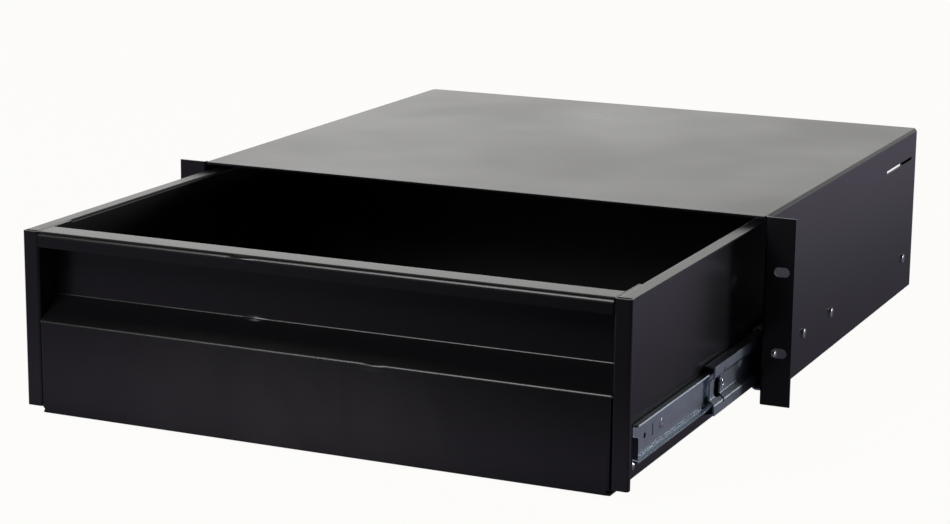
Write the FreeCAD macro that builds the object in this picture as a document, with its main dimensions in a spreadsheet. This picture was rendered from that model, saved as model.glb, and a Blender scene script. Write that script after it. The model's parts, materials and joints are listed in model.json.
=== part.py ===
import FreeCAD, Part
import math
import os

import Sketcher

# A 3U sliding rack drawer, half open, in millimetres: +X right, -Y to the front, +Z up.
# The origin is the centre of the four ear slots, on the plane of the ears' front faces.
# Each piece is modelled with the drawer shut and then moved out by its Placement.

SIZES = [
    # rack ears and chassis
    ("ear_span", 482.6),            # over both ears
    ("ear_height", 132.5),          # three rack units less the usual gap
    ("slot_span", 465.1),           # between the slot columns
    ("slot_rise", 57.15),           # between the slots of one ear
    ("slot_reach", 11.0),           # end to end
    ("slot_height", 6.8),
    ("chassis_width", 442.0),
    ("chassis_depth", 400.0),
    ("chassis_sheet", 1.5),
    ("chassis_bend", 2.5),          # outside radius of every chassis fold
    ("skirt_gap", 1.0),             # sides end this far above the ears' lower ends
    ("rear_return", 13.0),
    ("cable_slot_length", 75.0),
    ("cable_slot_height", 2.5),
    ("cable_slot_level", 44.0),
    ("cable_slot_inset", 16.0),     # from the chassis' rear edge
    # drawer
    ("tray_sheet", 1.2),
    ("tray_bottom", -62.2),
    ("tray_length", 385.0),
    ("tray_bend", 3.0),
    ("back_top", 50.0),
    ("back_flange", 12.0),
    ("back_bend", 2.0),
    ("lip_top", 60.8),
    ("lip_width", 9.1),
    ("lip_bend", 0.8),
    ("post_set_back", 0.8),         # behind the front's face
    ("post_bend", 2.0),
    ("post_edge_bend", 1.6),
    ("post_width", 9.4),            # beyond the tray's side
    ("post_return", 4.0),
    ("post_leg", 42.0),             # along the inside of the tray's side
    ("post_foot", 3.0),             # post ends this far above the tray's bottom
    ("front_sheet", 1.2),
    ("front_bend", 2.0),
    ("pull_bend", 1.5),
    ("front_gap", 0.15),            # to each post's leg
    ("back_gap", 0.15),             # to each side wall
    ("front_wrap", 15.0),           # flange under the tray
    ("pull_depth", 21.0),
    ("shelf_front_level", 0.0),
    ("shelf_back_level", 14.8),
    ("fascia_bottom", 50.7),
    ("fascia_bend", 2.5),
    ("tab_length", 40.0),
    ("tab_top", -1.5),
    ("tab_foot", 2.5),
    ("pull_out", 245.0),            # how far the drawer stands open
    # three-section ball slides
    ("slide_space", 12.7),          # chassis wall to drawer side
    ("slide_level", -37.3),
    ("slide_sheet", 1.2),
    ("outer_front", 12.0),
    ("outer_length", 380.0),
    ("outer_height", 45.3),
    ("outer_corner", 2.2),
    ("race_hook", 0.3),             # lip goes this far past the ball's middle
    ("middle_front", 40.5),
    ("middle_length", 345.0),
    ("middle_web", 4.6),            # from the chassis wall
    ("dish_depth", 3.5),
    ("dish_half", 6.2),
    ("dish_bend", 2.0),
    ("inner_front", 29.0),
    ("inner_length", 355.0),
    ("inner_reach", 4.9),           # flange from the drawer's side
    ("inner_corner", 1.4),
    ("race_slope", 12.1),           # degrees, the races' shallow sides
    ("hump_end", 62.0),             # degrees, where the middle's flange stops bending
    ("hump_tail", 0.2),             # its straight end
    ("outer_ball", 4.76),
    ("outer_ball_in", 6.3),         # ball centre from the chassis wall
    ("inner_ball", 4.0),
    ("inner_ball_in", 10.3),
    ("ball_gap", 0.06),
    ("cage_sheet", 0.6),
    ("cage_gap", 0.35),
    ("cage_corner", 1.0),
    ("pocket_gap", 0.12),
    ("outer_cage_front", 113.75),
    ("outer_cage_length", 170.0),
    ("outer_cage_web", 2.6),
    ("outer_cage_reach", 8.0),
    ("inner_cage_front", 142.25),
    ("inner_cage_length", 140.0),
    ("inner_cage_reach", 12.0),
    ("cage_margin", 10.0),          # first ball from the cage's end
    ("window_inset", 7.0),
    ("window_length", 13.6),
    ("window_height", 14.8),
    ("notch_length", 2.4),          # along the window's straight end
    ("notch_height", 24.4),
    ("eyelet_inset", 25.0),
    ("eyelet_size", 6.0),
    ("eyelet_bore", 2.6),
    ("eyelet_rise", 0.8),
    ("catch_top", 4.3),
    ("catch_bottom", -10.0),
    ("pilot_inset", 21.0),
    ("pilot_size", 4.0),
    ("slit_inset", 35.0),
    ("slit_width", 1.6),
    ("slit_height", 8.0),
    ("bumper_length", 5.6),
    ("bumper_half", 8.0),
    ("bumper_reach", 8.6),
    ("closing_gap", 0.5),
    # fasteners
    ("screw_shank", 3.6),
    ("screw_clearance", 0.2),
    ("side_head", 7.0),
    ("side_head_rise", 1.9),
    ("drawer_head", 7.0),
    ("drawer_head_rise", 0.8),
    ("rivet_shank", 3.2),
    ("rivet_clearance", 0.05),
    ("rivet_head", 5.0),
    ("rivet_rise", 0.9),
    ("rivet_inset", 34.0),          # side rivets from the front's face
    ("rivet_level", 9.2),           # side rivets above the tray's bottom
    ("wrap_rivet_inset", 8.0),
    ("back_rivet_inset", 6.0),      # from the tray's rear end
    ("overcut", 1.0),               # how far a cutter runs past the faces that it cuts
]

SIDE_SCREWS = (25.0, 95.0, 164.0, 369.0)        # from the ears' front face
DRAWER_SCREWS = (50.6, 178.0, 306.0)            # from the inner member's front end
WRAP_RIVETS = (-165.0, -55.0, 55.0, 165.0)      # across the drawer
BACK_RIVETS = (-7.0, 32.0)                      # levels
OUTER_BALLS = 6                                 # in each row
INNER_BALLS = 5
SHANK_SIDES = 8                                 # shanks and the holes that heads cover
HEAD_SIDES = 12
ARC_SIDES = 24
POCKET_SIDES = 8

# How far each group moves as a share of the drawer's travel
WITH_DRAWER = "1"
WITH_MIDDLE = "0.5"
WITH_OUTER_CAGE = "0.25"
WITH_INNER_CAGE = "0.75"

doc = FreeCAD.newDocument("rack_drawer")
sheet = doc.addObject("Spreadsheet::Sheet", "Sizes")
for row, (alias, value) in enumerate(SIZES, start=1):
    cell = "A%d" % row
    sheet.set(cell, str(value))
    sheet.setAlias(cell, alias)
doc.recompute()

TURN = {
    "XY": FreeCAD.Rotation(),
    "XZ": FreeCAD.Rotation(FreeCAD.Vector(1, 0, 0), 90),
    "YZ": FreeCAD.Rotation(FreeCAD.Vector(1, 1, 1), 120),
}
AXIS = {
    "X": FreeCAD.Vector(1, 0, 0),
    "Y": FreeCAD.Vector(0, 1, 0),
    "Z": FreeCAD.Vector(0, 0, 1),
}
ROD_TURN = {
    "X": FreeCAD.Rotation(FreeCAD.Vector(0, 1, 0), 90),
    "Y": FreeCAD.Rotation(FreeCAD.Vector(1, 0, 0), -90),
    "Z": FreeCAD.Rotation(),
}


# ---- expressions for the places that several pieces share ----

def plus(*terms):
    return "(" + " + ".join("(%s)" % term for term in terms) + ")"


def minus(first, second):
    return "((%s) - (%s))" % (first, second)


def size(name):
    return "Sizes." + name


WALL = "(Sizes.chassis_width / 2)"
INNER_WALL = "(Sizes.chassis_width / 2 - Sizes.chassis_sheet)"
EAR_TOP = "(Sizes.ear_height / 2)"
SKIRT = "(Sizes.skirt_gap - Sizes.ear_height / 2)"
SIDE = "(Sizes.chassis_width / 2 - Sizes.chassis_sheet - Sizes.slide_space)"
SIDE_INSIDE = "(" + SIDE + " - Sizes.tray_sheet)"
LIP_UNDER = "(Sizes.lip_top - Sizes.tray_sheet)"
POST_INSIDE = "(" + SIDE_INSIDE + " - Sizes.tray_sheet)"
FRONT_HALF = "(" + POST_INSIDE + " - Sizes.front_gap)"
BACK_HALF = "(" + SIDE_INSIDE + " - Sizes.back_gap)"
FRONT_FOOT = "(Sizes.tray_bottom - Sizes.front_sheet)"
SCREW_HOLE = "(Sizes.screw_shank / 2 + Sizes.screw_clearance)"
RIVET_HOLE = "(Sizes.rivet_shank / 2)"
BACK_RIVET_PLACE = "(Sizes.tray_length - Sizes.back_rivet_inset)"
PAST = "Sizes.overcut"

# The slides' section: "in" runs from the chassis wall towards the drawer, "up" from the middle line.
OUTER_RACE = "(Sizes.outer_ball / 2 + Sizes.ball_gap)"
INNER_RACE = "(Sizes.inner_ball / 2 + Sizes.ball_gap)"
HUMP = "(" + INNER_RACE + " + Sizes.slide_sheet)"
OUTER_BALL_UP = "(Sizes.outer_height / 2 - Sizes.slide_sheet - " + OUTER_RACE + ")"
BALL_STEP_IN = "(Sizes.inner_ball_in - Sizes.outer_ball_in)"
INNER_BALL_UP = ("(" + OUTER_BALL_UP + " - (" + OUTER_RACE + " + " + HUMP + " - " + BALL_STEP_IN
                 + " * sin(Sizes.race_slope)) / cos(Sizes.race_slope))")


def number(text):
    return float(sheet.evalExpression(str(text)))


# ---- small makers: each returns one bound document object ----

def rounded_sketch(name, plane, corners, closed=False):
    """Sketch through the corners (across, up, radius); a radius rounds its corner with an arc."""
    sketch = doc.addObject("Sketcher::SketchObject", name)
    sketch.Placement = FreeCAD.Placement(FreeCAD.Vector(), TURN[plane])
    points = [FreeCAD.Vector(number(corner[0]), number(corner[1]), 0) for corner in corners]
    count = len(points)
    arrive = list(points)
    leave = list(points)
    rounds = {}
    for index, corner in enumerate(corners):
        if len(corner) < 3:
            continue
        point = points[index]
        radius = number(corner[2])
        inward = (point - points[index - 1]).normalize()
        outward = (points[(index + 1) % count] - point).normalize()
        turn = math.atan2(inward.x * outward.y - inward.y * outward.x, inward.dot(outward))
        set_back = radius * math.tan(abs(turn) / 2)
        side = math.copysign(1, turn)
        arrive[index] = point - inward * set_back
        leave[index] = point + outward * set_back
        centre = arrive[index] + FreeCAD.Vector(-inward.y, inward.x, 0) * radius * side
        rounds[index] = (centre, radius, side)
    spans = count if closed else count - 1
    lines = []
    for index in range(spans):
        line = Part.LineSegment(leave[index], arrive[(index + 1) % count])
        lines.append(sketch.addGeometry(line, False))

    def bind(kind, where, expression, value):
        place = sketch.addConstraint(Sketcher.Constraint(kind, *where, value))
        sketch.setExpression("Constraints[%d]" % place, expression)

    for index, corner in enumerate(corners):
        last = lines[index - 1] if closed or index > 0 else None
        following = lines[index] if closed or index < count - 1 else None
        point = points[index]
        if index in rounds:
            centre, radius, side = rounds[index]
            begin, end = (arrive[index], leave[index]) if side > 0 else (leave[index], arrive[index])
            start_angle = math.atan2(begin.y - centre.y, begin.x - centre.x)
            end_angle = math.atan2(end.y - centre.y, end.x - centre.x)
            circle = Part.Circle(centre, FreeCAD.Vector(0, 0, 1), radius)
            arc = sketch.addGeometry(Part.ArcOfCircle(circle, start_angle, end_angle), False)
            apex = sketch.addGeometry(Part.Point(point), True)
            near, far = (1, 2) if side > 0 else (2, 1)
            sketch.addConstraint(Sketcher.Constraint("Tangent", last, 2, arc, near))
            sketch.addConstraint(Sketcher.Constraint("Tangent", arc, far, following, 1))
            sketch.addConstraint(Sketcher.Constraint("PointOnObject", apex, 1, last))
            sketch.addConstraint(Sketcher.Constraint("PointOnObject", apex, 1, following))
            bind("Radius", (arc,), corner[2], radius)
            held = (apex, 1)
        elif last is None:
            held = (following, 1)
        else:
            held = (last, 2)
            if following is not None:
                sketch.addConstraint(Sketcher.Constraint("Coincident", last, 2, following, 1))
        bind("DistanceX", held, corner[0], point.x)
        bind("DistanceY", held, corner[1], point.y)
    return sketch


def extruded(name, base, axis, start, stop):
    """Push a flat face along an axis from start to stop."""
    solid = doc.addObject("Part::Extrusion", name)
    solid.Base = base
    solid.DirMode = "Custom"
    solid.Dir = AXIS[axis]
    solid.Solid = True
    solid.setExpression("LengthFwd", str(stop))
    solid.setExpression("LengthRev", "-(%s)" % start)
    return solid


def folded(name, plane, corners, thickness, axis, start, stop):
    """Bent sheet: an open path, thickened to its left (or right where negative), then extruded."""
    path = rounded_sketch(name + "_path", plane, corners)
    section = doc.addObject("Part::Offset2D", name + "_section")
    section.Source = path
    section.Mode = "Skin"
    section.Join = "Intersection"
    section.Fill = True
    # on the XZ plane an offset grows to the left, on the other two to the right
    section.setExpression("Value", thickness if plane == "XZ" else "-(%s)" % thickness)
    return extruded(name, section, axis, start, stop)


def block(name, across, along, up):
    """Box from three (low, high) pairs."""
    box = doc.addObject("Part::Box", name)
    for side, place, (low, high) in zip(("Length", "Width", "Height"), "xyz", (across, along, up)):
        box.setExpression(side, minus(high, low))
        box.setExpression("Placement.Base." + place, str(low))
    return box


def rod(name, axis, centre, radius, start, stop, sides=None):
    """Cylinder along an axis, or a prism with some sides whose corners lie on it.

    centre gives the two other coordinates in X, Y, Z order.
    """
    if sides is None:
        bar = doc.addObject("Part::Cylinder", name)
        bar.setExpression("Radius", radius)
    else:
        bar = doc.addObject("Part::Prism", name)
        bar.Polygon = sides
        bar.setExpression("Circumradius", radius)
    bar.Placement = FreeCAD.Placement(FreeCAD.Vector(), ROD_TURN[axis])
    bar.setExpression("Height", minus(stop, start))
    places = dict(zip([letter for letter in "XYZ" if letter != axis], centre))
    places[axis] = start
    for letter, place in places.items():
        bar.setExpression("Placement.Base." + letter.lower(), str(place))
    return bar


def fused(name, pieces):
    whole = doc.addObject("Part::MultiFuse", name)
    whole.Shapes = pieces
    whole.Refine = True
    return whole


def together(name, pieces):
    group = doc.addObject("Part::Compound", name)
    group.Links = pieces
    return group


def cut(name, base, tools):
    result = doc.addObject("Part::Cut", name)
    result.Base = base
    result.Tool = together(name + "_tools", tools) if len(tools) > 1 else tools[0]
    result.Refine = True
    return result


NODES = []


def node(piece, label, travel=None):
    """Name a finished piece, and move it out by its share of the drawer's travel."""
    piece.Label = label
    if travel is not None:
        piece.setExpression("Placement.Base.y", "-(Sizes.pull_out) * %s" % travel)
    NODES.append(piece)
    return piece


def left_twin(piece):
    """The piece mirrored to the other side of the drawer."""
    twin = doc.addObject("Part::Mirroring", piece.Name + "_twin")
    twin.Source = piece
    twin.Base = FreeCAD.Vector(0, 0, 0)
    twin.Normal = FreeCAD.Vector(1, 0, 0)
    return twin


def pair(piece, name, travel=None):
    """The right-hand piece and its mirrored twin."""
    node(piece, name + "_right", travel)
    node(left_twin(piece), name + "_left")


# ---- chassis ----

def obround(name, across, up):
    """Slot cutter through an ear, its round ends left and right."""
    straight = "((Sizes.slot_reach - Sizes.slot_height) / 2)"
    half = "(Sizes.slot_height / 2)"
    through = ("-Sizes.chassis_sheet", "2 * Sizes.chassis_sheet")
    middle = block(name + "_middle", (minus(across, straight), plus(across, straight)), through,
                   (minus(up, half), plus(up, half)))
    ends = [rod(name + "_" + end, "Y", (place, up), half, *through)
            for end, place in (("low", minus(across, straight)), ("high", plus(across, straight)))]
    return [middle] + ends


def make_chassis():
    hood = folded("hood", "XZ",
                  [("-" + WALL, SKIRT),
                   ("-" + WALL, EAR_TOP, size("chassis_bend")),
                   (WALL, EAR_TOP, size("chassis_bend")),
                   (WALL, SKIRT)],
                  "-Sizes.chassis_sheet", "Y",
                  size("chassis_bend"), "Sizes.chassis_depth - Sizes.chassis_bend")
    roof_half = minus(WALL, size("chassis_bend"))
    roof = block("roof", ("-" + roof_half, roof_half), ("0", size("chassis_depth")),
                 (minus(EAR_TOP, size("chassis_sheet")), EAR_TOP))
    ear = folded("ear", "XY",
                 [("Sizes.ear_span / 2", "0"),
                  (INNER_WALL, "0", size("chassis_bend")),
                  (INNER_WALL, "Sizes.chassis_bend + Sizes.chassis_sheet")],
                 "-Sizes.chassis_sheet", "Z", "-" + EAR_TOP, EAR_TOP)
    rear = folded("rear_return", "XY",
                  [(WALL, "Sizes.chassis_depth - Sizes.chassis_bend - Sizes.chassis_sheet"),
                   (WALL, size("chassis_depth"), size("chassis_bend")),
                   (minus(WALL, size("rear_return")), size("chassis_depth"))],
                  "Sizes.chassis_sheet", "Z", SKIRT, minus(EAR_TOP, size("chassis_bend")))
    pieces = [hood, roof]
    for right in (ear, rear):
        pieces += [right, left_twin(right)]
    cutters = []
    for side in ("-", ""):
        for level in ("-", ""):
            cutters += obround("ear_slot", side + "(Sizes.slot_span / 2)", level + "(Sizes.slot_rise / 2)")
    past_wall = plus(WALL, size("chassis_sheet"))
    slot_end = "(Sizes.chassis_depth - Sizes.cable_slot_inset)"
    cutters.append(block("cable_slots", ("-" + past_wall, past_wall),
                         (minus(slot_end, size("cable_slot_length")), slot_end),
                         ("Sizes.cable_slot_level - Sizes.cable_slot_height / 2",
                          "Sizes.cable_slot_level + Sizes.cable_slot_height / 2")))
    for place in SIDE_SCREWS:
        cutters.append(rod("screw_hole", "X", (str(place), size("slide_level")), SCREW_HOLE,
                           "-" + past_wall, past_wall, SHANK_SIDES))
    node(cut("chassis", fused("chassis_blank", pieces), cutters), "chassis_shell")


# ---- slides ----

def at(inward, up):
    """Section point of the right-hand slide, from the chassis wall and the slide's middle line."""
    return (minus(INNER_WALL, inward), plus(size("slide_level"), up))


def flange_path(upper, bends):
    """A section that mirrors about the slide's middle line: top end first, then the lower half."""
    top = [at(inward, up) + bend for (inward, up), bend in zip(upper, bends)]
    low = [at(inward, "-(%s)" % up) + bend for (inward, up), bend in zip(upper, bends)]
    return top + low[::-1]


def cross_holes(name, places, start, stop):
    """Screw holes across the slide at its middle line."""
    return [rod(name, "X", (place, size("slide_level")), SCREW_HOLE, start, stop, SHANK_SIDES)
            for place in places]


def outer_screw_places():
    return [str(place) for place in SIDE_SCREWS]


def drawer_screw_places():
    return ["(Sizes.inner_front + %s)" % place for place in DRAWER_SCREWS]


def make_outer_member():
    lip = "(Sizes.outer_ball_in + " + OUTER_RACE + " + Sizes.slide_sheet)"
    half = "(Sizes.outer_height / 2)"
    path = flange_path([(lip, minus(OUTER_BALL_UP, size("race_hook"))), (lip, half), ("0", half)],
                       [(), (plus(OUTER_RACE, size("slide_sheet")),), (size("outer_corner"),)])
    rail = folded("outer_rail", "XZ", path, "-Sizes.slide_sheet", "Y", size("outer_front"),
                  "Sizes.outer_front + Sizes.outer_length")
    holes = cross_holes("outer_hole", outer_screw_places(),
                        minus(INNER_WALL, plus(size("slide_sheet"), PAST)), plus(INNER_WALL, PAST))
    pair(cut("outer_member", rail, holes), "slide_outer")


def make_middle_member():
    groove_up = "(" + OUTER_BALL_UP + " - " + OUTER_RACE + " / cos(Sizes.race_slope))"
    corner_up = plus(groove_up, "(Sizes.outer_ball_in - Sizes.middle_web) * tan(Sizes.race_slope)")
    end = (plus(size("inner_ball_in"), HUMP + " * cos(Sizes.hump_end)",
                "Sizes.hump_tail * sin(Sizes.hump_end)"),
           plus(INNER_BALL_UP, HUMP + " * sin(Sizes.hump_end)",
                "-Sizes.hump_tail * cos(Sizes.hump_end)"))
    # the hump's corner lies midway between its two tangents
    middle_angle = "((90 + Sizes.race_slope + Sizes.hump_end) / 2)"
    half_turn = "((90 + Sizes.race_slope - Sizes.hump_end) / 2)"
    hump = ("(Sizes.inner_ball_in + " + HUMP + " / cos(" + half_turn + ") * cos(" + middle_angle + "))",
            "(" + INNER_BALL_UP + " + " + HUMP + " / cos(" + half_turn + ") * sin(" + middle_angle + "))")
    upper = [end,
             hump,
             (size("outer_ball_in"), groove_up),
             (size("middle_web"), corner_up),
             (size("middle_web"), "(Sizes.dish_half + Sizes.dish_depth)"),
             ("(Sizes.middle_web + Sizes.dish_depth)", size("dish_half"))]
    bends = [(), (HUMP,), (OUTER_RACE,), (), (size("dish_bend"),), ("Sizes.dish_bend / 2",)]
    rail = folded("middle_rail", "XZ", flange_path(upper, bends), "-Sizes.slide_sheet", "Y",
                  size("middle_front"), "Sizes.middle_front + Sizes.middle_length")
    # D-shaped window near the front end, its round side to the front and notched at its corners
    dish_face = minus(INNER_WALL, "(Sizes.middle_web + Sizes.dish_depth)")
    through = (minus(dish_face, plus(size("slide_sheet"), PAST)),
               plus(dish_face, size("dish_depth"), PAST))
    half = "(Sizes.window_height / 2)"
    notch_half = "(Sizes.notch_height / 2)"
    front = "(Sizes.middle_front + Sizes.window_inset)"
    rear = plus(front, size("window_length"))
    round_middle = plus(front, half)
    window = [rod("window_arc", "X", (round_middle, size("slide_level")), half, *through, ARC_SIDES),
              block("window", through, (round_middle, rear),
                    (minus(size("slide_level"), half), plus(size("slide_level"), half))),
              block("window_notch", through, (minus(rear, size("notch_length")), rear),
                    (minus(size("slide_level"), notch_half), plus(size("slide_level"), notch_half)))]
    eyelet_place = ("(Sizes.middle_front + Sizes.eyelet_inset)", size("slide_level"))
    pair(cut("middle_member", rail, window), "slide_middle", WITH_MIDDLE)
    disc = rod("eyelet_disc", "X", eyelet_place, "Sizes.eyelet_size / 2",
               dish_face, plus(dish_face, size("eyelet_rise")), HEAD_SIDES)
    bore = rod("eyelet_hole", "X", eyelet_place, "Sizes.eyelet_bore / 2",
               minus(dish_face, PAST), plus(dish_face, size("eyelet_rise"), PAST), SHANK_SIDES)
    pair(cut("eyelet", disc, [bore]), "latch_eyelet", WITH_MIDDLE)


def make_inner_member():
    groove_up = "(" + INNER_BALL_UP + " - " + INNER_RACE + " / cos(Sizes.race_slope))"
    flange_end = "(Sizes.slide_space - Sizes.inner_reach)"
    upper = [(flange_end,
              plus(groove_up, "(Sizes.inner_ball_in - " + flange_end + ") * tan(Sizes.race_slope)")),
             (size("inner_ball_in"), groove_up),
             (size("slide_space"),
              plus(groove_up, "(Sizes.slide_space - Sizes.inner_ball_in) * tan(Sizes.race_slope)"))]
    bends = [(), (INNER_RACE,), (size("inner_corner"),)]
    rail = folded("inner_rail", "XZ", flange_path(upper, bends), "Sizes.slide_sheet", "Y",
                  size("inner_front"), "Sizes.inner_front + Sizes.inner_length")
    catch = block("catch", (SIDE, minus(INNER_WALL, flange_end)),
                  (size("inner_front"), "Sizes.inner_front + Sizes.slide_sheet"),
                  ("Sizes.slide_level + Sizes.catch_bottom", "Sizes.slide_level + Sizes.catch_top"))
    through = (minus(SIDE, PAST), plus(SIDE, size("slide_sheet"), PAST))
    slit_front = "(Sizes.inner_front + Sizes.slit_inset - Sizes.slit_width / 2)"
    openings = cross_holes("inner_hole", drawer_screw_places(), *through)
    openings.append(rod("pilot_hole", "X", ("(Sizes.inner_front + Sizes.pilot_inset)", size("slide_level")),
                        "Sizes.pilot_size / 2", *through, HEAD_SIDES))
    openings.append(block("slit", through, (slit_front, plus(slit_front, size("slit_width"))),
                          ("Sizes.slide_level - Sizes.slit_height / 2",
                           "Sizes.slide_level + Sizes.slit_height / 2")))
    member = cut("inner_member", fused("inner_blank", [rail, catch]), openings)
    pair(member, "slide_inner", WITH_DRAWER)


def ball_places(front, length, count):
    """Expressions for the balls' places along a cage."""
    step = "((Sizes.%s - 2 * Sizes.cage_margin) / %d)" % (length, count - 1)
    return ["(Sizes.%s + Sizes.cage_margin + %d * %s)" % (front, index, step) for index in range(count)]


def pockets(name, inward, up, ball, places):
    """Many-sided openings through both flanges of a cage, just clear of the balls."""
    tools = []
    radius = "(Sizes.%s / 2 / cos(180 / %d) + Sizes.pocket_gap)" % (ball, POCKET_SIDES)
    for place in places:
        for level in (up, "-(%s)" % up):
            across, middle = at(inward, level)
            tools.append(rod(name, "Z", (across, place), radius, minus(middle, PAST),
                             plus(middle, PAST), POCKET_SIDES))
    return tools


def make_cages():
    outer_up = plus(OUTER_BALL_UP, "Sizes.cage_sheet / 2")
    path = flange_path([(size("outer_cage_reach"), outer_up), (size("outer_cage_web"), outer_up)],
                       [(), (size("cage_corner"),)])
    strip = folded("outer_cage", "XZ", path, "-Sizes.cage_sheet", "Y", size("outer_cage_front"),
                   "Sizes.outer_cage_front + Sizes.outer_cage_length")
    places = ball_places("outer_cage_front", "outer_cage_length", OUTER_BALLS)
    tools = pockets("outer_pocket", size("outer_ball_in"), OUTER_BALL_UP, "outer_ball", places)
    pair(cut("outer_retainer", strip, tools), "outer_ball_cage", WITH_OUTER_CAGE)
    # the inner cage follows the middle member's dished web at a constant gap
    inner_up = plus(INNER_BALL_UP, "Sizes.cage_sheet / 2")
    off_web = "(Sizes.slide_sheet + Sizes.cage_gap)"
    near = plus(size("middle_web"), off_web)
    rise = "(Sizes.dish_half + " + off_web + " * tan(22.5))"
    upper = [(size("inner_cage_reach"), inner_up),
             (near, inner_up),
             (near, plus(rise, size("dish_depth"))),
             (plus(near, size("dish_depth")), rise)]
    path = flange_path(upper, [(), (size("cage_corner"),), (), ()])
    strip = folded("inner_cage", "XZ", path, "-Sizes.cage_sheet", "Y", size("inner_cage_front"),
                   "Sizes.inner_cage_front + Sizes.inner_cage_length")
    places = ball_places("inner_cage_front", "inner_cage_length", INNER_BALLS)
    tools = pockets("inner_pocket", size("inner_ball_in"), INNER_BALL_UP, "inner_ball", places)
    pair(cut("inner_retainer", strip, tools), "inner_ball_cage", WITH_INNER_CAGE)


def faceted_ball(radius, centre):
    """Ball of a few flat faces, its corners on the sphere."""
    around = 8
    rings = (-55, -18, 18, 55)
    bottom = centre - FreeCAD.Vector(0, 0, radius)
    top = centre + FreeCAD.Vector(0, 0, radius)
    layers = []
    for latitude in rings:
        tilt = math.radians(latitude)
        flat = radius * math.cos(tilt)
        turns = [2 * math.pi * step / around for step in range(around)]
        layers.append([centre + FreeCAD.Vector(flat * math.cos(turn), flat * math.sin(turn),
                                               radius * math.sin(tilt)) for turn in turns])
    faces = []
    for step in range(around):
        after = (step + 1) % around
        faces.append([bottom, layers[0][after], layers[0][step]])
        faces.append([top, layers[-1][step], layers[-1][after]])
        for low, high in zip(layers, layers[1:]):
            faces.append([low[step], low[after], high[after], high[step]])
    shells = [Part.Face(Part.makePolygon(ring + ring[:1])) for ring in faces]
    return Part.makeSolid(Part.makeShell(shells))


def make_balls(name, inward, up, ball, places, travel):
    """Both rows of one cage, and the mirrored pair on the left."""
    balls = []
    for place in places:
        for level in (up, "-(%s)" % up):
            across, middle = at(inward, level)
            centre = FreeCAD.Vector(number(across), number(place), number(middle))
            balls.append(faceted_ball(number("Sizes.%s / 2" % ball), centre))
    group = doc.addObject("Part::Feature", name)
    group.Shape = Part.makeCompound(balls)
    pair(group, name, travel)


def make_bumpers():
    back = "(Sizes.outer_front + Sizes.outer_length)"
    start = "(Sizes.middle_front + Sizes.middle_length + Sizes.closing_gap)"
    pad = block("bumper", (minus(INNER_WALL, size("bumper_reach")), minus(INNER_WALL, size("slide_sheet"))),
                (start, plus(start, size("bumper_length"))),
                ("Sizes.slide_level - Sizes.bumper_half", "Sizes.slide_level + Sizes.bumper_half"))
    pair(pad, "slide_bumper")


# ---- drawer ----

def make_tray():
    front = "(Sizes.post_set_back + Sizes.post_return)"
    lip_end = plus(SIDE, size("lip_width"))
    half = [(lip_end, LIP_UNDER),
            (SIDE, LIP_UNDER, size("lip_bend")),
            (SIDE, size("tray_bottom"), size("tray_bend"))]
    left = [("-" + corner[0],) + corner[1:] for corner in half]
    trough = folded("trough", "XZ", left + half[::-1], "Sizes.tray_sheet", "Y", front,
                    size("tray_length"))
    post = folded("post", "XY",
                  [(POST_INSIDE, size("post_leg")),
                   (POST_INSIDE, size("post_set_back"), size("post_bend")),
                   (plus(SIDE, size("post_width")), size("post_set_back"), size("post_edge_bend")),
                   (plus(SIDE, size("post_width")), front)],
                  "Sizes.tray_sheet", "Z",
                  plus(size("tray_bottom"), size("post_foot")), size("lip_top"))
    past_side = plus(SIDE, PAST)
    holes = cross_holes("tray_hole", drawer_screw_places(), "-" + past_side, past_side)
    holes.append(rod("tray_rivet_hole", "X", (size("rivet_inset"), "Sizes.tray_bottom + Sizes.rivet_level"),
                     RIVET_HOLE, "-" + past_side, past_side, SHANK_SIDES))
    for place in WRAP_RIVETS:
        holes.append(rod("floor_rivet_hole", "Z", (str(place), size("wrap_rivet_inset")), RIVET_HOLE,
                         minus(size("tray_bottom"), PAST),
                         plus(size("tray_bottom"), size("tray_sheet"), PAST), SHANK_SIDES))
    for level in BACK_RIVETS:
        holes.append(rod("tray_back_hole", "X", (BACK_RIVET_PLACE, str(level)), RIVET_HOLE,
                         "-" + past_side, past_side, SHANK_SIDES))
    blank = fused("tray_blank", [trough, post, left_twin(post)])
    node(cut("tray", blank, holes), "drawer_tray", WITH_DRAWER)


def make_back():
    """Rear panel: all four flanges turn to the rear, the two upright ones along the tray's sides."""
    face = "(Sizes.tray_length - Sizes.back_flange)"
    floor = "(Sizes.tray_bottom + Sizes.tray_sheet)"
    inner = minus(BACK_HALF, size("back_bend"))
    panel = folded("back_panel", "YZ",
                   [(size("tray_length"), floor),
                    (face, floor, size("back_bend")),
                    (face, size("back_top"), size("back_bend")),
                    (size("tray_length"), size("back_top"))],
                   "-Sizes.tray_sheet", "X", "-" + inner, inner)
    flange = folded("back_side", "XY",
                    [(BACK_HALF, size("tray_length")),
                     (BACK_HALF, face, size("back_bend")),
                     (minus(inner, size("back_bend")), face)],
                    "-Sizes.tray_sheet", "Z", plus(floor, size("back_bend")),
                    minus(size("back_top"), size("back_bend")))
    holes = [rod("back_hole", "X", (BACK_RIVET_PLACE, str(level)), RIVET_HOLE,
                 minus(BACK_HALF, plus(size("tray_sheet"), PAST)), plus(BACK_HALF, PAST), SHANK_SIDES)
             for level in BACK_RIVETS]
    drilled = cut("drilled_side", flange, holes)
    node(fused("back", [panel, drilled, left_twin(drilled)]), "drawer_back", WITH_DRAWER)


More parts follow.
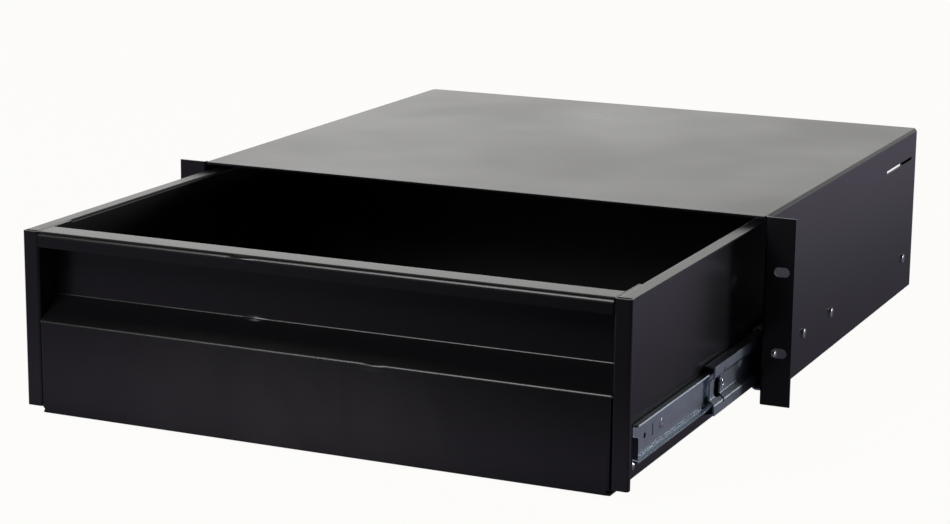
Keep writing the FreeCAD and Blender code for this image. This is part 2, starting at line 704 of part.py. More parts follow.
def make_front():
    path = [(size("front_wrap"), FRONT_FOOT),
            ("0", FRONT_FOOT, size("front_bend")),
            ("0", size("shelf_front_level"), size("fascia_bend")),
            (size("pull_depth"), size("shelf_back_level"), size("pull_bend")),
            (size("pull_depth"), "Sizes.lip_top - Sizes.front_sheet", size("pull_bend")),
            (size("front_sheet"), "Sizes.lip_top - Sizes.front_sheet", size("fascia_bend")),
            (size("front_sheet"), size("fascia_bottom"))]
    profile = folded("front_profile", "YZ", path, "-Sizes.front_sheet", "X", "-" + FRONT_HALF, FRONT_HALF)
    inner = minus(FRONT_HALF, size("front_bend"))
    past_end = plus(FRONT_HALF, PAST)
    notches = []
    for low, high in ((inner, past_end), ("-" + past_end, "-" + inner)):
        notches.append(block("corner_notch", (low, high), ("-" + PAST, size("front_bend")),
                             (minus(FRONT_FOOT, PAST), size("tab_top"))))
    for place in WRAP_RIVETS:
        notches.append(rod("wrap_hole", "Z", (str(place), size("wrap_rivet_inset")), RIVET_HOLE,
                           minus(FRONT_FOOT, PAST), plus(size("tray_bottom"), PAST), SHANK_SIDES))
    tab = folded("front_tab", "XY",
                 [(FRONT_HALF, size("tab_length")),
                  (FRONT_HALF, "0", size("front_bend")),
                  (minus(FRONT_HALF, "3 * Sizes.front_bend"), "0")],
                 "-Sizes.front_sheet", "Z", "Sizes.tray_bottom + Sizes.tab_foot", size("tab_top"))
    tab_hole = rod("tab_hole", "X", (size("rivet_inset"), "Sizes.tray_bottom + Sizes.rivet_level"),
                   RIVET_HOLE, minus(FRONT_HALF, plus(size("front_sheet"), PAST)), past_end, SHANK_SIDES)
    drilled = cut("drilled_tab", tab, [tab_hole])
    notched = cut("notched_front", profile, notches)
    node(fused("front", [notched, drilled, left_twin(drilled)]), "drawer_front", WITH_DRAWER)


# ---- fasteners ----

def headed(name, axis, centre, shank, head, seat, tip, rise):
    """Shank from tip to seat and a round head that stands off the seat by rise."""
    away = plus(seat, rise)
    low, high = (tip, seat) if number(tip) < number(seat) else (seat, tip)
    pin = rod(name + "_pin", axis, centre, shank, low, high, SHANK_SIDES)
    low, high = (seat, away) if number(rise) > 0 else (away, seat)
    cap = rod(name + "_head", axis, centre, head, low, high, HEAD_SIDES)
    return fused(name, [pin, cap])


def make_fasteners():
    side = [headed("side_screw", "X", (place, size("slide_level")), "Sizes.screw_shank / 2",
                   "Sizes.side_head / 2", WALL, minus(INNER_WALL, size("slide_sheet")),
                   size("side_head_rise")) for place in outer_screw_places()]
    pair(together("side_screws", side), "side_screws")
    drawer = [headed("drawer_screw", "X", (place, size("slide_level")), "Sizes.screw_shank / 2",
                     "Sizes.drawer_head / 2", plus(SIDE, size("slide_sheet")), SIDE_INSIDE,
                     size("drawer_head_rise")) for place in drawer_screw_places()]
    pair(together("drawer_screws", drawer), "drawer_screws", WITH_DRAWER)
    seated = "(Sizes.rivet_shank / 2 - Sizes.rivet_clearance)"
    under = [headed("wrap_rivet", "Z", (str(place), size("wrap_rivet_inset")), seated,
                    "Sizes.rivet_head / 2", FRONT_FOOT, "Sizes.tray_bottom + Sizes.tray_sheet",
                    "-Sizes.rivet_rise") for place in WRAP_RIVETS]
    back = []
    for sign in ("-", ""):
        seat = sign + SIDE
        rise = sign + "Sizes.rivet_rise"
        under.append(headed("tab_rivet", "X",
                            (size("rivet_inset"), "Sizes.tray_bottom + Sizes.rivet_level"),
                            seated, "Sizes.rivet_head / 2", seat,
                            sign + minus(FRONT_HALF, size("front_sheet")), rise))
        for level in BACK_RIVETS:
            back.append(headed("back_rivet", "X", (BACK_RIVET_PLACE, str(level)), seated,
                               "Sizes.rivet_head / 2", seat,
                               sign + minus(BACK_HALF, size("tray_sheet")), rise))
    node(together("rivets", under), "front_rivets", WITH_DRAWER)
    node(together("rear_rivets", back), "back_rivets", WITH_DRAWER)


make_chassis()
make_outer_member()
make_middle_member()
make_inner_member()
make_cages()
make_balls("outer_balls", size("outer_ball_in"), OUTER_BALL_UP, "outer_ball",
           ball_places("outer_cage_front", "outer_cage_length", OUTER_BALLS), WITH_OUTER_CAGE)
make_balls("inner_balls", size("inner_ball_in"), INNER_BALL_UP, "inner_ball",
           ball_places("inner_cage_front", "inner_cage_length", INNER_BALLS), WITH_INNER_CAGE)
make_bumpers()
make_tray()
make_back()
make_front()
make_fasteners()

doc.recompute()
for item in doc.Objects:
    if any(state in item.State for state in ("Invalid", "Error")):
        raise RuntimeError("%s did not compute: %s" % (item.Name, item.State))

os.makedirs("parts", exist_ok=True)
for piece in NODES:
    shape = piece.Shape
    if shape.isNull() or not shape.isValid():
        raise RuntimeError("bad shape: " + piece.Label)
    shape.exportStep("parts/%s.step" % piece.Label)
    box = shape.BoundBox
    print("%-22s solids %2d  x %.2f..%.2f  y %.2f..%.2f  z %.2f..%.2f  volume %.0f" % (
        piece.Label, len(shape.Solids), box.XMin, box.XMax, box.YMin, box.YMax, box.ZMin, box.ZMax,
        shape.Volume))
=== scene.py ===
import json
import math

import bmesh
import bpy
from mathutils import Matrix, Vector


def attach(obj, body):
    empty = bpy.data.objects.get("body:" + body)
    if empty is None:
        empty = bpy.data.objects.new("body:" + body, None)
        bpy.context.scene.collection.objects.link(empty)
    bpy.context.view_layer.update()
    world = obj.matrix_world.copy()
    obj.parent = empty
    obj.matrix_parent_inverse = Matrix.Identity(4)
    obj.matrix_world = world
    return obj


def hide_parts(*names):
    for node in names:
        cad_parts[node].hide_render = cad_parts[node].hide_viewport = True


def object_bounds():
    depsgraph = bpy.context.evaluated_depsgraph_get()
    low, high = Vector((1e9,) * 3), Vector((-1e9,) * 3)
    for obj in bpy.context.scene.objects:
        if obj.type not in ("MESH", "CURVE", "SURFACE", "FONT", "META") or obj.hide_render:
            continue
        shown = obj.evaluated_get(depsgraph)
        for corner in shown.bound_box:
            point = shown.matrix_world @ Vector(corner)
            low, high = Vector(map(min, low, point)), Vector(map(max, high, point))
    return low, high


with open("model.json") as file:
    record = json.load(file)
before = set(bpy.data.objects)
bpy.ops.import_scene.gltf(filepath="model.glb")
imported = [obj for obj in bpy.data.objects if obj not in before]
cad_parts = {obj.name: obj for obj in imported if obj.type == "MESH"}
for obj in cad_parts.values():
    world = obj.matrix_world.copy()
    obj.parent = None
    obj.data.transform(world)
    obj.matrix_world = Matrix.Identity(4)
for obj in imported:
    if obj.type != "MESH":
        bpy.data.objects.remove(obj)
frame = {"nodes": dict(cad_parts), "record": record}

CAD_BOX = [list(corner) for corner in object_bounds()]
MM = 0.001
SIDES = ("right", "left")

SMOOTH_ANGLE = 35               # degrees; sharper edges are eased, softer ones shaded smooth
PIN_SMOOTH_ANGLE = 40           # the same on screws and rivets
SHEET_EDGE = 0.18               # millimetres that are eased off the coated sheets' edges
SLIDE_EDGE = 0.1
CAGE_EDGE = 0.05
PAD_EDGE = 0.25
LATHE_STEPS = 40
NO_RADIUS = 1e-7                # metres; nearer the axis than this is on it
SAME_LEVEL = 0.01 * MM
CROWN_DROP = 0.4 * MM           # from a screw head's middle to its rounded edge
THREAD_PITCH = 0.7 * MM
THREAD_RUNOUT = 0.3 * MM
GROOVE_DEPTH = 0.9 * MM
PAD_GROOVES = 3


# ---------------------------------------------------------------- colours and nodes

def linear(code):
    """sRGB hex to the linear values that the shaders take."""
    channels = [int(code[start:start + 2], 16) / 255 for start in (1, 3, 5)]
    return [c / 12.92 if c <= 0.04045 else ((c + 0.055) / 1.055) ** 2.4 for c in channels] + [1.0]


def add(tree, kind, settings=None, links=None):
    """Adds one node; settings name its properties or inputs, links give (input, output socket)."""
    made = tree.nodes.new(kind)
    for key, value in (settings or {}).items():
        if isinstance(key, str) and hasattr(made, key):
            setattr(made, key, value)
        else:
            made.inputs[key].default_value = value
    for key, socket in (links or {}).items():
        tree.links.new(socket, made.inputs[key])
    return made


def new_material(name):
    """Empty material with a Principled shader wired to its output."""
    material = bpy.data.materials.new(name)
    material.use_nodes = True
    tree = material.node_tree
    tree.nodes.clear()
    shader = add(tree, "ShaderNodeBsdfPrincipled")
    add(tree, "ShaderNodeOutputMaterial", links={"Surface": shader.outputs["BSDF"]})
    return material, tree, shader


def per_metre(millimetres):
    """Texture scale whose features are about this many millimetres across."""
    return 1.0 / (millimetres * MM)


def orange_peel(tree, place, shader, under=None):
    """The sprayed film's texture: millimetre pits on a slower swell, over any dents in the sheet."""
    swell = add(tree, "ShaderNodeTexNoise", {"Scale": per_metre(38), "Detail": 1.0}, {"Vector": place})
    peel = add(tree, "ShaderNodeTexNoise", {"Scale": per_metre(1.2), "Detail": 2.0}, {"Vector": place})
    dent = add(tree, "ShaderNodeBump", {"Strength": 0.25, "Distance": 0.2 * MM},
               {"Height": swell.outputs["Fac"], **({"Normal": under} if under else {})})
    bump = add(tree, "ShaderNodeBump", {"Strength": 0.10, "Distance": 0.03 * MM},
               {"Height": peel.outputs["Fac"], "Normal": dent.outputs["Normal"]})
    tree.links.new(bump.outputs["Normal"], shader.inputs["Normal"])


def powder_coat(name):
    """Black polyester powder coat, sprayed and stoved.

    It gives a satin film with a faint orange peel about a millimetre across, and a slow change
    of gloss where the film is thicker.
    """
    material, tree, shader = new_material(name)
    place = add(tree, "ShaderNodeTexCoord").outputs["Object"]
    film = add(tree, "ShaderNodeTexNoise", {"Scale": per_metre(120), "Detail": 2.0}, {"Vector": place})
    tint = add(tree, "ShaderNodeMix", {"data_type": "RGBA", 6: linear("#131115"), 7: linear("#171519")},
               {0: film.outputs["Fac"]})
    tree.links.new(tint.outputs[2], shader.inputs["Base Color"])
    gloss = add(tree, "ShaderNodeMapRange", {"From Min": 0.3, "From Max": 0.7, "To Min": 0.27,
                                             "To Max": 0.31}, {"Value": film.outputs["Fac"]})
    tree.links.new(gloss.outputs["Result"], shader.inputs["Roughness"])
    orange_peel(tree, place, shader)
    shader.inputs["IOR"].default_value = 1.5
    return material


def closeness(tree, place, centre, reach):
    """1 at the centre, falling smoothly to 0 at the ellipsoid that reach spans."""
    off = add(tree, "ShaderNodeVectorMath", {"operation": "SUBTRACT", 1: centre}, {0: place})
    squashed = add(tree, "ShaderNodeVectorMath", {"operation": "DIVIDE", 1: reach}, {0: off.outputs[0]})
    away = add(tree, "ShaderNodeVectorMath", {"operation": "LENGTH"}, {0: squashed.outputs[0]})
    near = add(tree, "ShaderNodeMapRange", {"interpolation_type": "SMOOTHSTEP", "From Min": 1.0,
                                            "From Max": 0.0}, {"Value": away.outputs["Value"]})
    return near.outputs["Result"]


def wiped_and_sheen_coat(name, centre, reach, knocks):
    """The same coat on the drawer's front, lighter around one place on the face as a painted highlight.

    The painted highlight stands in for a broad reflection and fades away from its centre. It is broken into
    upright smears where hands and cloths have left a faint dry film. Small knocks have flattened the bends in
    a few places, which widens the light along them.
    """
    material, tree, shader = new_material(name)
    place = add(tree, "ShaderNodeTexCoord").outputs["Object"]
    smear = add(tree, "ShaderNodeMapping", {"Scale": (1.0, 1.0, 0.35), "Rotation": (0, math.radians(18), 0)},
                {"Vector": place})
    cloud = add(tree, "ShaderNodeTexNoise", {"Scale": per_metre(28), "Detail": 4.0, "Roughness": 0.55,
                                             "Distortion": 0.7}, {"Vector": smear.outputs["Vector"]})
    patchy = add(tree, "ShaderNodeMapRange", {"From Min": 0.3, "From Max": 0.7, "To Min": 0.55},
                 {"Value": cloud.outputs["Fac"]})
    # Painted highlight mixed with real wipe marks: 1 near the centre and fading outwards, broken up by the
    # smears.
    sheen_and_haze = add(tree, "ShaderNodeMath", {"operation": "MULTIPLY"},
               {0: closeness(tree, place, centre, reach), 1: patchy.outputs["Result"]})
    # Painted highlight: the base colour lightens from near black towards grey where that mask is high.
    tint = add(tree, "ShaderNodeMix", {"data_type": "RGBA", 6: linear("#0f0d10"), 7: linear("#2d2b2c")},
               {0: sheen_and_haze.outputs[0]})
    tree.links.new(tint.outputs[2], shader.inputs["Base Color"])
    gloss = add(tree, "ShaderNodeMapRange", {"To Min": 0.27, "To Max": 0.36}, {"Value": sheen_and_haze.outputs[0]})
    tree.links.new(gloss.outputs["Result"], shader.inputs["Roughness"])
    dented = None
    for knock in knocks:
        height = closeness(tree, place, knock, KNOCK_REACH)
        dent = add(tree, "ShaderNodeBump", {"Distance": KNOCK_DEPTH},
                   {"Height": height, **({"Normal": dented} if dented else {})})
        dented = dent.outputs["Normal"]
    orange_peel(tree, place, shader, dented)
    shader.inputs["IOR"].default_value = 1.5
    return material


def zinc_plate(name, pale, dull, rough, streak):
    """Cold-rolled steel strip, bright zinc plated: cool grey, with rolling lines along its length."""
    material, tree, shader = new_material(name)
    place = add(tree, "ShaderNodeTexCoord").outputs["Object"]
    along = add(tree, "ShaderNodeMapping", {"Scale": (1.0, streak, 1.0)}, {"Vector": place})
    grain = add(tree, "ShaderNodeTexNoise", {"Scale": per_metre(0.8), "Detail": 3.0},
                {"Vector": along.outputs["Vector"]})
    bloom = add(tree, "ShaderNodeTexNoise", {"Scale": per_metre(14), "Detail": 3.0}, {"Vector": place})
    tint = add(tree, "ShaderNodeMix", {"data_type": "RGBA", 6: linear(pale), 7: linear(dull)},
               {0: bloom.outputs["Fac"]})
    tree.links.new(tint.outputs[2], shader.inputs["Base Color"])
    gloss = add(tree, "ShaderNodeMapRange", {"To Min": rough - 0.04, "To Max": rough + 0.05},
                {"Value": grain.outputs["Fac"]})
    tree.links.new(gloss.outputs["Result"], shader.inputs["Roughness"])
    bump = add(tree, "ShaderNodeBump", {"Strength": 0.12, "Distance": 0.006 * MM},
               {"Height": grain.outputs["Fac"]})
    tree.links.new(bump.outputs["Normal"], shader.inputs["Normal"])
    shader.inputs["Metallic"].default_value = 1.0
    return material


def polished_steel(name):
    """Ground and polished bearing steel: a hard, nearly mirror surface with a trace of grease."""
    material, tree, shader = new_material(name)
    place = add(tree, "ShaderNodeTexCoord").outputs["Object"]
    film = add(tree, "ShaderNodeTexNoise", {"Scale": per_metre(2.5), "Detail": 2.0}, {"Vector": place})
    gloss = add(tree, "ShaderNodeMapRange", {"To Min": 0.08, "To Max": 0.2}, {"Value": film.outputs["Fac"]})
    tree.links.new(gloss.outputs["Result"], shader.inputs["Roughness"])
    shader.inputs["Base Color"].default_value = linear("#c9cace")
    shader.inputs["Metallic"].default_value = 1.0
    return material


def black_nylon(name):
    """Moulded glass-filled nylon: dull black with a fine spark-eroded grain."""
    material, tree, shader = new_material(name)
    place = add(tree, "ShaderNodeTexCoord").outputs["Object"]
    grain = add(tree, "ShaderNodeTexNoise", {"Scale": per_metre(0.5), "Detail": 2.0}, {"Vector": place})
    bump = add(tree, "ShaderNodeBump", {"Strength": 0.3, "Distance": 0.03 * MM},
               {"Height": grain.outputs["Fac"]})
    tree.links.new(bump.outputs["Normal"], shader.inputs["Normal"])
    shader.inputs["Base Color"].default_value = linear("#1b1b1c")
    shader.inputs["Roughness"].default_value = 0.55
    return material


def extent(points):
    """Low and high corners of a set of points."""
    low = Vector([min(point[axis] for point in points) for axis in range(3)])
    high = Vector([max(point[axis] for point in points) for axis in range(3)])
    return low, high


def box_of(node):
    """Low and high corners of a CAD node, and its middle."""
    low, high = extent([vertex.co for vertex in frame["nodes"][node].data.vertices])
    return low, high, (low + high) / 2


FRONT_LOW, FRONT_HIGH, FRONT_MIDDLE = box_of("drawer_front")
# Where the drawer front's painted highlight and wipe marks are lightest, and how far they reach.
SHEEN_AND_HAZE_CENTRE = (FRONT_MIDDLE.x - 25 * MM, FRONT_LOW.y, FRONT_LOW.z + 25 * MM)
SHEEN_AND_HAZE_REACH = (0.23, 0.012, 0.085)
KNOCKS = ((FRONT_MIDDLE.x - 50 * MM, FRONT_LOW.y + 0.5 * MM, FRONT_HIGH.z - 2.6 * MM),
          (FRONT_MIDDLE.x - 52 * MM, FRONT_LOW.y + 21 * MM, FRONT_HIGH.z - 46.4 * MM),
          (FRONT_MIDDLE.x + 44 * MM, FRONT_LOW.y + 0.5 * MM, FRONT_HIGH.z - 62.6 * MM))
KNOCK_REACH = (10 * MM, 3 * MM, 3 * MM)
KNOCK_DEPTH = 0.7 * MM

COAT = powder_coat("satin_black_powder_coat")
# The front's coat carries a painted highlight, mixed with wipe marks.
FRONT_COAT = wiped_and_sheen_coat("sheen_and_wipe_black_powder_coat", SHEEN_AND_HAZE_CENTRE, SHEEN_AND_HAZE_REACH, KNOCKS)
SLIDE_ZINC = zinc_plate("bright_zinc_slide_steel", "#ccd6e0", "#a5b2bf", 0.36, 0.06)
CAGE_STEEL = zinc_plate("stamped_cage_steel", "#a9acae", "#85898c", 0.34, 0.3)
SCREW_ZINC = zinc_plate("zinc_plated_screw_steel", "#eceeef", "#c9cccf", 0.2, 1.0)
BALL_STEEL = polished_steel("polished_bearing_steel")
NYLON = black_nylon("moulded_black_nylon")
FINISHES = {"black_powder_coat": COAT, "zinc_slide": SLIDE_ZINC, "stamped_retainer": CAGE_STEEL,
            "bearing_steel": BALL_STEEL, "zinc_screw": SCREW_ZINC, "black_nylon": NYLON}
SLOTS = {part["node"]: part["material_slot"] for part in frame["record"]["subparts"]}


# ---------------------------------------------------------------- pieces made of the CAD's own sheets

def bare(node):
    """A merged copy of a CAD node's mesh, with flat regions joined up."""
    copy = bmesh.new()
    copy.from_mesh(frame["nodes"][node].data)
    bmesh.ops.remove_doubles(copy, verts=copy.verts, dist=0.002 * MM)
    bmesh.ops.dissolve_limit(copy, angle_limit=math.radians(0.5), verts=copy.verts, edges=copy.edges)
    return copy


def applied(shape, change):
    """The mesh after the modifiers that change() adds to a scratch object holding it."""
    scratch = bpy.data.objects.new(shape.name + "_scratch", shape)
    bpy.context.scene.collection.objects.link(scratch)
    change(scratch)
    final = bpy.data.meshes.new_from_object(scratch.evaluated_get(bpy.context.evaluated_depsgraph_get()))
    bpy.data.objects.remove(scratch)
    return final


def eased(width, smooth):
    """Change for applied(): rounds each edge sharper than the angle, and keeps flat faces flat."""
    def change(scratch):
        ease = scratch.modifiers.new("eased_edges", "BEVEL")
        ease.width = width * MM
        ease.segments = 2
        ease.limit_method = "ANGLE"
        ease.angle_limit = math.radians(smooth + 5)
        shade = scratch.modifiers.new("shading", "WEIGHTED_NORMAL")
        shade.mode = "FACE_AREA"
        shade.weight = 50
        shade.keep_sharp = True
    return change


def smoothed(copy, name, smooth=SMOOTH_ANGLE):
    """Mesh of a bmesh, shaded smooth except at edges sharper than the angle."""
    shape = bpy.data.meshes.new(name)
    copy.to_mesh(shape)
    copy.free()
    for face in shape.polygons:
        face.use_smooth = True
    shape.set_sharp_from_angle(angle=math.radians(smooth))
    return shape


def placed(shape, body, node, material=None):
    """Link a finished mesh as the piece that stands in for a CAD node, in its slot's finish."""
    shape.materials.clear()
    shape.materials.append(material or FINISHES[SLOTS[node]])
    piece = bpy.data.objects.new(node + "_finished", shape)
    bpy.context.scene.collection.objects.link(piece)
    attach(piece, body)
    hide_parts(node)


def dressed(node, body, edge=SHEET_EDGE, material=None):
    """The CAD node with its sheet edges eased and its folds shaded smooth."""
    shape = smoothed(bare(node), node + "_finished")
    placed(applied(shape, eased(edge, SMOOTH_ANGLE)), body, node, material)


# ---------------------------------------------------------------- fasteners and small parts

def islands(node):
    """Each separate solid of a node as its list of points."""
    copy = bare(node)
    left = set(copy.verts)
    found = []
    while left:
        group = {left.pop()}
        edge = list(group)
        while edge:
            vertex = edge.pop()
            for link in vertex.link_edges:
                other = link.other_vert(vertex)
                if other in left:
                    left.remove(other)
                    group.add(other)
                    edge.append(other)
        found.append([vertex.co.copy() for vertex in group])
    copy.free()
    return sorted(found, key=lambda points: (round(points[0].y, 4), round(points[0].z, 4)))


def seat_of(points):
    """Where a headed pin sits: matrix from its own frame (head up, seat at 0), and its four sizes."""
    low, high = extent(points)
    spans = high - low
    axis = min(range(3), key=lambda index: abs(spans[(index + 1) % 3] - spans[(index + 2) % 3]))
    middle = (low + high) / 2
    along = sorted({round(point[axis], 6) for point in points})
    wide = {level: max((point - middle).cross(Vector([float(index == axis) for index in range(3)])).length
                       for point in points if abs(point[axis] - level) < SAME_LEVEL) for level in along}
    head_first = wide[along[0]] > wide[along[-1]]
    top, seat, tip = (along[0], along[1], along[-1]) if head_first else (along[-1], along[-2], along[0])
    out = Vector([0.0, 0.0, 0.0])
    out[axis] = math.copysign(1.0, top - seat)
    foot = middle.copy()
    foot[axis] = seat
    turn = out.to_track_quat("Z", "Y").to_matrix().to_4x4()
    shank = min(wide.values())
    return Matrix.Translation(foot) @ turn, max(wide.values()), abs(top - seat), shank, abs(seat - tip)


def lathed(profile, steps=LATHE_STEPS):
    """Solid of revolution about Z from (radius, height) points; a zero radius closes on the axis."""
    copy = bmesh.new()
    rings = []
    for radius, height in profile:
        if radius < NO_RADIUS:
            rings.append([copy.verts.new((0, 0, height))])
            continue
        turns = [2 * math.pi * step / steps for step in range(steps)]
        rings.append([copy.verts.new((radius * math.cos(turn), radius * math.sin(turn), height))
                      for turn in turns])
    closed = len(rings[0]) > 1
    pairs = list(zip(rings, rings[1:])) + ([(rings[-1], rings[0])] if closed else [])
    for one, two in pairs:
        for step in range(steps):
            after = (step + 1) % steps
            corners = [one[step % len(one)], one[after % len(one)],
                       two[after % len(two)], two[step % len(two)]]
            copy.faces.new(list(dict.fromkeys(corners)))
    bmesh.ops.recalc_face_normals(copy, faces=copy.faces)
    return copy


def arc(centre, radius, start, stop, steps=6):
    """Points of a round corner in a lathe profile, angles in degrees."""
    turns = [math.radians(start + (stop - start) * step / steps) for step in range(steps + 1)]
    return [(centre[0] + radius * math.cos(turn), centre[1] + radius * math.sin(turn)) for turn in turns]


def cross_cutter(radius, depth, top):
    """Tapered cross that cuts the driver's recess, pointing down from the head's top."""
    copy = bmesh.new()
    wide = 0.13 * radius
    layers = []
    for long, height in ((0.64 * radius, top + 0.05 * MM), (0.30 * radius, top - depth)):
        quarter = [(long, -wide), (long, wide), (wide, wide)]
        corners = [Matrix.Rotation(math.radians(90 * turn), 2) @ Vector(point)
                   for turn in range(4) for point in quarter]
        layers.append([copy.verts.new((x, y, height)) for x, y in corners])
    upper, lower = layers
    copy.faces.new(upper)
    copy.faces.new(lower[::-1])
    for step in range(len(upper)):
        after = (step + 1) % len(upper)
        copy.faces.new([upper[step], lower[step], lower[after], upper[after]])
    bmesh.ops.recalc_face_normals(copy, faces=copy.faces)
    return smoothed(copy, "cross_cutter")


def pan_screw(head, rise, shank, length):
    """Pan-head screw: rounded edge, crowned top, thread rings on its shank, cross recess."""
    corner = min(0.45 * rise, 0.7 * MM)
    crown = [(share * (head - corner), rise - CROWN_DROP * share ** 2)
             for share in (0, 0.2, 0.4, 0.6, 0.8)]
    profile = crown + arc((head - corner, rise - corner - CROWN_DROP), corner, 70, 0)
    profile += [(head, 0), (shank, 0)]
    threads = int((length - THREAD_RUNOUT) / THREAD_PITCH)
    for turn in range(threads):
        level = -turn * THREAD_PITCH
        profile += [(shank, level - 0.15 * THREAD_PITCH), (shank * 0.86, level - 0.5 * THREAD_PITCH),
                    (shank, level - 0.85 * THREAD_PITCH)]
    profile += [(shank * 0.8, -length), (0, -length)]
    blank = smoothed(lathed(profile), "screw_blank")
    cutter = bpy.data.objects.new("cross", cross_cutter(head, 0.62 * rise, rise))
    bpy.context.scene.collection.objects.link(cutter)

    def recess(scratch):
        cut = scratch.modifiers.new("recess", "BOOLEAN")
        cut.operation = "DIFFERENCE"
        cut.object = cutter
        cut.solver = "EXACT"
    final = applied(blank, recess)
    bpy.data.objects.remove(cutter)
    return final


def blind_rivet(head, rise, shank, length):
    """Blind rivet: domed flange, the mandrel's hole in its middle, and the snapped stem inside."""
    bore = 0.42 * shank
    crown = (head * head - rise * rise) / (2 * rise) + rise
    dome = []
    for step in range(6):
        radius = bore + (head - bore) * (step + 1) / 7
        dome.append((radius, rise - crown + math.sqrt(crown * crown - radius * radius)))
    profile = [(0, 0.35 * rise), (0.6 * bore, 0.30 * rise), (bore, 0.2 * rise), (bore, 0.9 * rise)]
    profile += dome + [(head, 0.12 * rise), (head, 0), (shank, 0), (shank, -0.9 * length),
                       (0.8 * shank, -length), (0, -length)]
    return smoothed(lathed(profile), "rivet")


def rolled_eyelet(outer, rise, inner):
    """Eyelet whose rim is rolled over into a half round."""
    half = (outer - inner) / 2
    profile = [(inner, 0)]
    for step in range(1, 10):
        turn = math.pi - math.pi * step / 10
        profile.append((inner + half + half * math.cos(turn), rise * math.sin(turn)))
    profile.append((outer, 0))
    return smoothed(lathed(profile), "eyelet")


def copied(node, body, maker):
    """One finished piece with maker's shape at every headed pin of the node."""
    whole = bmesh.new()
    made = {}
    for points in islands(node):
        matrix, head, rise, shank, length = seat_of(points)
        key = tuple(round(value / MM, 3) for value in (head, rise, shank, length))
        if key not in made:
            made[key] = maker(head, rise, shank, length)
        fresh = made[key].copy()
        fresh.transform(matrix)
        whole.from_mesh(fresh)
    shape = smoothed(whole, node + "_finished", PIN_SMOOTH_ANGLE)
    placed(shape, body, node)


def finished_eyelet(node, body):
    """Rolled eyelet in the place of the CAD's plain ring, its rim away from the drawer."""
    low, high, middle = box_of(node)
    outward = math.copysign(1.0, middle.x)
    seat = low.x if outward > 0 else high.x
    outer = (high.z - low.z) / 2
    shape = rolled_eyelet(outer, high.x - low.x, 0.43 * outer)
    turn = Vector((outward, 0, 0)).to_track_quat("Z", "Y").to_matrix().to_4x4()
    shape.transform(Matrix.Translation((seat, middle.y, middle.z)) @ turn)
    placed(shape, body, node)


def finished_bumper(node, body):
    """Moulded pad: three grooves across its striking face, every edge rounded."""
    low, high, middle = box_of(node)
    step = (high.z - low.z) / (2 * PAD_GROOVES + 1)
    bottom = low.y + GROOVE_DEPTH
    outline = [(high.y, low.z), (low.y, low.z)]
    for groove in range(PAD_GROOVES):
        base = low.z + (2 * groove + 1) * step
        outline += [(low.y, base), (bottom, base), (bottom, base + step), (low.y, base + step)]
    outline += [(low.y, high.z), (high.y, high.z)]
    copy = bmesh.new()
    near = [copy.verts.new((low.x, y, z)) for y, z in outline]
    far = [copy.verts.new((high.x, y, z)) for y, z in outline]
    copy.faces.new(near)
    copy.faces.new(far[::-1])
    count = len(outline)
    for index in range(count):
        after = (index + 1) % count
        copy.faces.new([near[index], far[index], far[after], near[after]])
    bmesh.ops.recalc_face_normals(copy, faces=copy.faces)
    shape = applied(smoothed(copy, node + "_pad"), eased(PAD_EDGE, SMOOTH_ANGLE))
    placed(shape, body, node)


WELD_SECTION = ((1.0, -2.4), (1.15, -0.10), (1.6, -0.04), (3.2, -0.04), (2.4, -0.8), (1.4, -2.0))
WELD_START = 5 * MM             # behind the front's face
WELD_END_GAP = 0.4 * MM         # short of the post leg's end
LEG_SEARCH = (0.19, 0.06)       # metres: farther out than this, and nearer the front's face than this


def corner_weld(side):
    """Ground weld that closes the groove between a post's leg and the bend of the tray's lip."""
    points = [vertex.co for vertex in frame["nodes"]["drawer_tray"].data.vertices]
    top = max(point.z for point in points)
    outward = {"right": 1, "left": -1}[side]
    inner = min(outward * point.x for point in points
                if point.z > top - SAME_LEVEL and outward * point.x > LEG_SEARCH[0]
                and point.y < FRONT_LOW.y + LEG_SEARCH[1])
    leg_end = max(point.y for point in points if abs(outward * point.x - inner) < 2 * SAME_LEVEL)
    copy = bmesh.new()
    ends = [[copy.verts.new((outward * (inner + x * MM), y, top + z * MM)) for x, z in WELD_SECTION]
            for y in (FRONT_LOW.y + WELD_START, leg_end - WELD_END_GAP)]
    copy.faces.new(ends[0])
    copy.faces.new(ends[1][::-1])
    for index in range(len(WELD_SECTION)):
        after = (index + 1) % len(WELD_SECTION)
        copy.faces.new([ends[0][index], ends[1][index], ends[1][after], ends[0][after]])
    bmesh.ops.recalc_face_normals(copy, faces=copy.faces)
    shape = smoothed(copy, "corner_weld_" + side)
    shape.materials.append(COAT)
    piece = bpy.data.objects.new("corner_weld_" + side, shape)
    bpy.context.scene.collection.objects.link(piece)
    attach(piece, "drawer")


# ---------------------------------------------------------------- bearing balls

